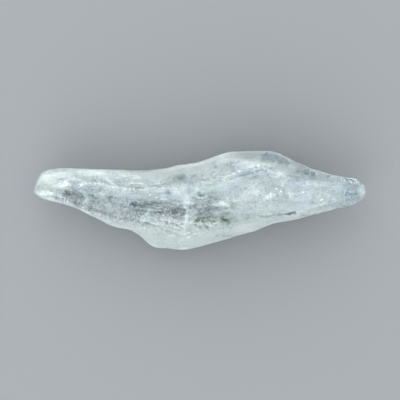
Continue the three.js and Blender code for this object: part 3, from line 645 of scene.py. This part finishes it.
def strip_along(point, normal_out, half_length_mm, half_width_mm, pieces, tilt, turn):
    """A thin strip that follows the streaks from a point and lies roughly along the skin."""
    strip = []
    step = 2.0 * half_length_mm * MM / pieces
    for n in range(pieces + 1):
        if not inside(point, 0.06):
            break
        way = streak_direction(point.x / MM, point.y / MM)
        way = (way - normal_out * way.dot(normal_out)).normalized()
        aside = normal_out.cross(way)
        ahead = way * math.cos(turn) + aside * math.sin(turn)
        aside = aside * math.cos(turn) - way * math.sin(turn)
        width = half_width_mm * MM * math.sin(math.pi * (n + 0.6) / (pieces + 1.2))
        strip.append((point, (aside * math.cos(tilt) + normal_out * math.sin(tilt)) * width))
        point = point + ahead * step
    return strip


begun = [under_skin(3.0) for _ in range(4 * WISP_COUNT)]
begun = [b for b in begun if b[0] is not None]
clear, _ = clearness(*np.array([(p.x, p.y) for p, _ in begun]).T / MM)
wisps = []
for (point, normal_out), clear_there in zip(begun, clear):
    x, y, z = point / MM
    streaky = 0.3 + 1.5 * noise.fractal(Vector((x * 0.12 + 40.0, y * 1.3, z * 1.3)), 1.0, 2.0, 4)
    if len(wisps) == WISP_COUNT or rng.random() > streaky * (1.0 - clear_there):
        continue
    strip = strip_along(point, normal_out, rng.uniform(*WISP_HALF_LENGTH_MM),
                        rng.uniform(*WISP_HALF_WIDTH_MM), 4,
                        rng.gauss(0.0, 0.4), rng.gauss(0.0, 0.2))
    if len(strip) > 2:
        wisps.append(strip)
for path, half_width, deepest_mm, count in veil_paths:
    lengths = [math.dist(a, b) for a, b in zip(path, path[1:])]
    for _ in range(count):
        (ax, ay), (bx, by) = rng.choices(list(zip(path, path[1:])), lengths)[0]
        share = rng.random()
        x = ax + share * (bx - ax) + rng.gauss(0.0, half_width * 0.6)
        y = ay + share * (by - ay) + rng.gauss(0.0, half_width * 0.6)
        point, normal_out = under_top(x, y, 0.15 + deepest_mm * rng.random())
        if point is None:
            continue
        strip = strip_along(point, normal_out, rng.uniform(*VEIL_HALF_LENGTH_MM),
                            rng.uniform(*VEIL_HALF_WIDTH_MM), 1,
                            rng.gauss(0.0, 0.4), rng.uniform(-1.5, 1.5))
        if len(strip) > 1:
            wisps.append(strip)
for path, half_width, deepest_mm, count in curtain_paths:
    for _ in range(count):
        middle, reach = rng.random(), rng.uniform(*FIBRE_REACH)
        first, last = max(middle - reach, 0.0), min(middle + reach, 1.0)
        aside = rng.gauss(0.0, half_width)
        depth = 0.2 + deepest_mm * rng.random()
        width = rng.uniform(*FIBRE_HALF_WIDTH_MM)
        turn = rng.gauss(0.0, 0.5)
        strip = []
        for n in range(FIBRE_POINTS):
            along = (first + (last - first) * n / (FIBRE_POINTS - 1)) * (len(path) - 1)
            leg = min(int(along), len(path) - 2)
            (ax, ay), (bx, by) = path[leg], path[leg + 1]
            x, y = ax + (along - leg) * (bx - ax) + aside, ay + (along - leg) * (by - ay)
            point, _ = under_top(x, y, depth)
            if point is None:
                break
            taper = math.sin(math.pi * (n + 0.6) / (FIBRE_POINTS + 0.2))
            strip.append((point, Vector((math.cos(turn), 0.0, math.sin(turn))) * width * taper * MM))
        if len(strip) > 1:
            wisps.append(strip)
joined_strips("wisps_and_veils", wisps, plain_material("healed cracks in quartz", "#F6FBFA", 0.35))

# ==== Glints ================================================================================
# Small open cracks just under the skin. The air in one mirrors the light, so it shows as a
# crisp white fleck where it faces between the eye and a lamp. A row of larger bubbles lies in
# the greenest part.

GLINT_COUNT = 40  # glints all round, besides the listed ones
GLINT_HALF_LENGTH_MM = (0.07, 0.22)
GLINT_HALF_WIDTH_MM = (0.03, 0.08)
GLINT_DEPTH_MM = (0.08, 0.2)
RIM_STRIPS = 12  # places round a bubble's rim
RIM_HALF_WIDTH_MM = 0.028
glint_spots = [  # (x, y, half length, half width, turn)
    (-24.1, 3.2, 0.35, 0.3, 0), (-24.9, 2.6, 0.6, 0.25, 0), (-24.0, 2.55, 0.3, 0.2, 0),
    (-23.6, 2.95, 0.25, 0.15, 0), (-23.15, 2.6, 0.3, 0.1, 80), (-21.4, 2.65, 0.17, 0.15, 0),
    (-20.0, 4.5, 0.3, 0.2, 20), (-18.5, 4.8, 0.25, 0.2, 0), (-17.7, 4.55, 0.35, 0.18, -20),
    (-17.5, 1.0, 0.4, 0.12, -15), (-26.8, 0.2, 0.45, 0.25, -10), (-27.4, 1.2, 0.2, 0.15, 0),
    (-26.6, 1.25, 0.2, 0.12, 0), (-28.2, 4.7, 0.4, 0.25, 20), (-25.0, -0.6, 0.5, 0.1, -8),
    (-17.3, -1.15, 0.2, 0.15, -30), (-17.7, -0.35, 0.12, 0.25, 20), (-15.6, 2.35, 0.3, 0.15, -30),
    (-15.9, 3.3, 0.2, 0.12, 0), (-12.05, 0.5, 0.25, 0.22, -30), (-11.65, 0.25, 0.22, 0.15, 0),
    (-9.0, 0.85, 0.12, 0.22, 0), (-7.7, 0.33, 0.2, 0.13, 0), (-6.5, 4.6, 0.25, 0.3, 0),
    (-6.6, -2.85, 0.14, 0.1, 0), (-12.0, -1.5, 0.14, 0.1, 0), (-4.1, -6.6, 0.3, 0.12, 0),
    (-9.4, -7.5, 0.3, 0.15, -30), (-8.7, -7.7, 0.15, 0.12, 0), (0.2, 1.05, 0.12, 0.1, 0),
    (4.7, -0.1, 0.32, 0.12, 5), (4.9, -0.5, 0.3, 0.1, 0), (4.8, -0.95, 0.42, 0.12, 0),
    (4.4, 8.0, 0.5, 0.15, 15), (1.5, 3.2, 0.17, 0.14, 0), (2.0, 2.95, 0.14, 0.12, 0),
    (10.4, 6.1, 0.25, 0.12, 0), (11.0, 6.5, 0.38, 0.22, 0), (11.4, 6.1, 0.2, 0.1, -40),
    (12.3, 6.0, 0.45, 0.13, 18), (11.6, 5.65, 0.15, 0.1, 0), (8.3, 6.2, 0.6, 0.12, 4),
    (12.0, 0.35, 0.45, 0.3, 25), (12.6, 0.9, 0.35, 0.2, 20), (14.7, 2.5, 0.24, 0.12, 80),
    (14.4, 1.45, 0.13, 0.12, 0), (16.05, 1.05, 0.5, 0.12, 85), (16.4, 3.25, 0.2, 0.2, 0),
    (16.2, 6.0, 0.3, 0.13, 75), (14.3, 5.75, 0.28, 0.1, 0), (15.3, 5.8, 0.15, 0.13, 0),
    (13.5, 4.7, 0.35, 0.1, 0), (17.7, 5.8, 0.3, 0.14, 0), (16.8, 5.1, 0.13, 0.12, 0),
    (26.1, 1.5, 0.2, 0.13, 0), (26.8, 1.5, 0.2, 0.06, 0), (26.15, 3.45, 0.22, 0.09, 0),
    (27.0, 3.4, 0.25, 0.05, 0), (24.7, 2.9, 0.12, 0.1, 0), (25.2, -1.65, 0.5, 0.08, 0),
    (22.6, -1.15, 0.35, 0.15, -10), (23.05, -1.05, 0.12, 0.1, 0), (19.45, -1.9, 0.35, 0.1, 80),
    (29.7, 1.5, 0.08, 0.2, 0), (16.5, -3.4, 0.3, 0.15, 20), (21.6, 0.0, 0.25, 0.08, 0),
    (23.9, 0.2, 0.2, 0.12, 0), (9.6, -5.1, 0.4, 0.15, 0), (18.3, 1.45, 0.2, 0.08, 0),
]

# Trapped air mirrors all light that meets it at a low angle: bright, white and a little blurred.
crack_air = plain_material("air in open cracks", "#FFFFFF", 0.2, 1.0)
LOW_LIGHT = Vector((-0.75, 0.3, 0.36)).normalized()  # where the brightest light comes from


def bent_in(way, normal_out):
    """The way on inside the quartz of light that goes a way outside and meets the skin."""
    across = way - normal_out * way.dot(normal_out)
    across /= QUARTZ_IOR
    return across - normal_out * math.sqrt(1.0 - across.length_squared)


def glinting(normal_out):
    """The way a crack under the skin faces if it throws the low light straight up."""
    if LOW_LIGHT.dot(normal_out) < 0.1:
        return normal_out
    middle = -bent_in(Vector((0, 0, -1)), normal_out) - bent_in(-LOW_LIGHT, normal_out)
    jitter = Vector((rng.gauss(0.0, 0.04), rng.gauss(0.0, 0.04), 0.0))
    return (middle.normalized() + jitter).normalized()


glints = []
for x, y, half_length, half_width, turn in glint_spots:
    c, s = math.cos(math.radians(turn)), math.sin(math.radians(turn))
    for _ in range(3 + round(34 * half_length * half_width)):
        a, b = rng.gauss(0.0, 0.5) * half_length, rng.gauss(0.0, 0.5) * half_width
        point, normal_out = under_top(x + a * c - b * s, y + a * s + b * c, rng.uniform(*GLINT_DEPTH_MM))
        if point is not None:
            facing = glinting(normal_out)
            glints.append(strip_along(point, facing, rng.uniform(*GLINT_HALF_LENGTH_MM),
                                      rng.uniform(*GLINT_HALF_WIDTH_MM), 3,
                                      0.0, math.radians(turn) + rng.gauss(0.2, 0.5)))
listed = len(glints)
while len(glints) < listed + GLINT_COUNT * 3:
    point, normal_out = under_skin(0.3)
    if point is None:
        continue
    size = rng.uniform(0.05, 0.2)
    for _ in range(3):
        nearby = point + Vector((rng.gauss(0, size), rng.gauss(0, size), rng.gauss(0, size * 0.3))) * MM
        glints.append(strip_along(nearby, normal_out, size * rng.uniform(0.4, 1.0),
                                  size * rng.uniform(0.2, 0.6), 2,
                                  rng.gauss(0.0, 0.2), rng.uniform(-1.5, 1.5)))
for x, y, radius in bubble_spots:
    for n in range(RIM_STRIPS):
        turn = 2 * math.pi * n / RIM_STRIPS
        out, aside = Vector((math.cos(turn), math.sin(turn), 0)), Vector((-math.sin(turn), math.cos(turn), 0))
        point, normal_out = under_top(x + radius * out.x, y + radius * out.y, 0.15)
        if point is not None and rng.random() < 0.7:
            half = aside * radius * rng.uniform(0.2, 0.3) * MM
            facing = glinting(normal_out)
            width = facing.cross(aside).normalized() * RIM_HALF_WIDTH_MM * MM
            glints.append([(point - half, width), (point + half, width)])
joined_strips("crack_glints", [g for g in glints if len(g) > 1], crack_air)

# ==== Floor, lights and camera ==============================================================
# A plain pale floor, soft studio light, and a camera that looks straight down at the crystal,
# whose long side runs level across the picture.

FRAME_WIDTH = 72.07 * MM  # what the picture's width covers at the crystal's middle
CAMERA_LENS_MM = 200.0
CRYSTAL_MIDDLE = Vector((0.0, 0.0, 0.0055))
TENT_LOW = 3.08  # strength of the tent's light near the floor
TENT_HIGH = 1.81  # and overhead
SOFTBOX_SIZE = 1.4

bpy.ops.object.select_all(action="DESELECT")
bpy.ops.mesh.primitive_plane_add(size=6.0, location=(0, 0, 0))
floor = bpy.context.active_object
floor.name = "floor"
floor_paint = bpy.data.materials.new("pale grey studio floor")
floor_paint.use_nodes = True
floor_shader = floor_paint.node_tree.nodes["Principled BSDF"]
floor_shader.inputs["Base Color"].default_value = linear("#717476")
floor_shader.inputs["Roughness"].default_value = 0.9
floor_shader.inputs["Specular IOR Level"].default_value = 0.2
floor.data.materials.append(floor_paint)

world = bpy.data.worlds.new("studio")
bpy.context.scene.world = world
world.use_nodes = True
# The tent of white cloth round the crystal is brighter low down, where its lamps stand, and on
# the left.
tent = add_node(world.node_tree, "ShaderNodeSeparateXYZ", None, {
    0: add_node(world.node_tree, "ShaderNodeTexCoord").outputs["Generated"]})
tent_light = add_node(world.node_tree, "ShaderNodeMapRange", {"interpolation_type": "SMOOTHSTEP"}, {
    "Value": tent.outputs["Z"], "From Min": 0.2, "From Max": 0.75, "To Min": TENT_LOW, "To Max": TENT_HIGH})
left_light = add_node(world.node_tree, "ShaderNodeMapRange", None, {
    "Value": tent.outputs["X"], "From Min": -1.0, "From Max": 1.0, "To Min": 1.12, "To Max": 0.88})
tent_strength = add_node(world.node_tree, "ShaderNodeMath", {"operation": "MULTIPLY"},
                         {0: tent_light, 1: left_light})
background = world.node_tree.nodes["Background"]
background.inputs["Color"].default_value = linear("#F0F3F4")
world.node_tree.links.new(tent_strength.outputs[0], background.inputs["Strength"])


def softbox(name, place, size, power, colour):
    """A square area light at place, aimed at the crystal."""
    light = bpy.data.lights.new(name, "AREA")
    light.shape = "SQUARE"
    light.size = size
    light.energy = power
    light.color = linear(colour)[:3]
    box = bpy.data.objects.new(name, light)
    bpy.context.scene.collection.objects.link(box)
    box.location = place
    box.rotation_mode = "QUATERNION"
    box.rotation_quaternion = (Vector(place) - CRYSTAL_MIDDLE).to_track_quat("Z", "Y")


softbox("key light", (-0.45, 1.05, 0.6), SOFTBOX_SIZE, 15.0, "#FFFFFF")
softbox("fill light", (-0.5, -1.05, 0.45), SOFTBOX_SIZE, 19.0, "#F8FBFF")

camera_data = bpy.data.cameras.new("camera")
camera_data.sensor_width = 36.0
camera_data.lens = CAMERA_LENS_MM
distance = FRAME_WIDTH * CAMERA_LENS_MM / camera_data.sensor_width
camera = bpy.data.objects.new("camera", camera_data)
bpy.context.scene.collection.objects.link(camera)
camera.location = (0.0, 0.0, CRYSTAL_MIDDLE.z + distance)
camera.rotation_euler = (0.0, 0.0, 0.0)
camera_data.clip_start = 0.01
bpy.context.scene.camera = camera
bpy.context.scene.view_settings.view_transform = "Standard"
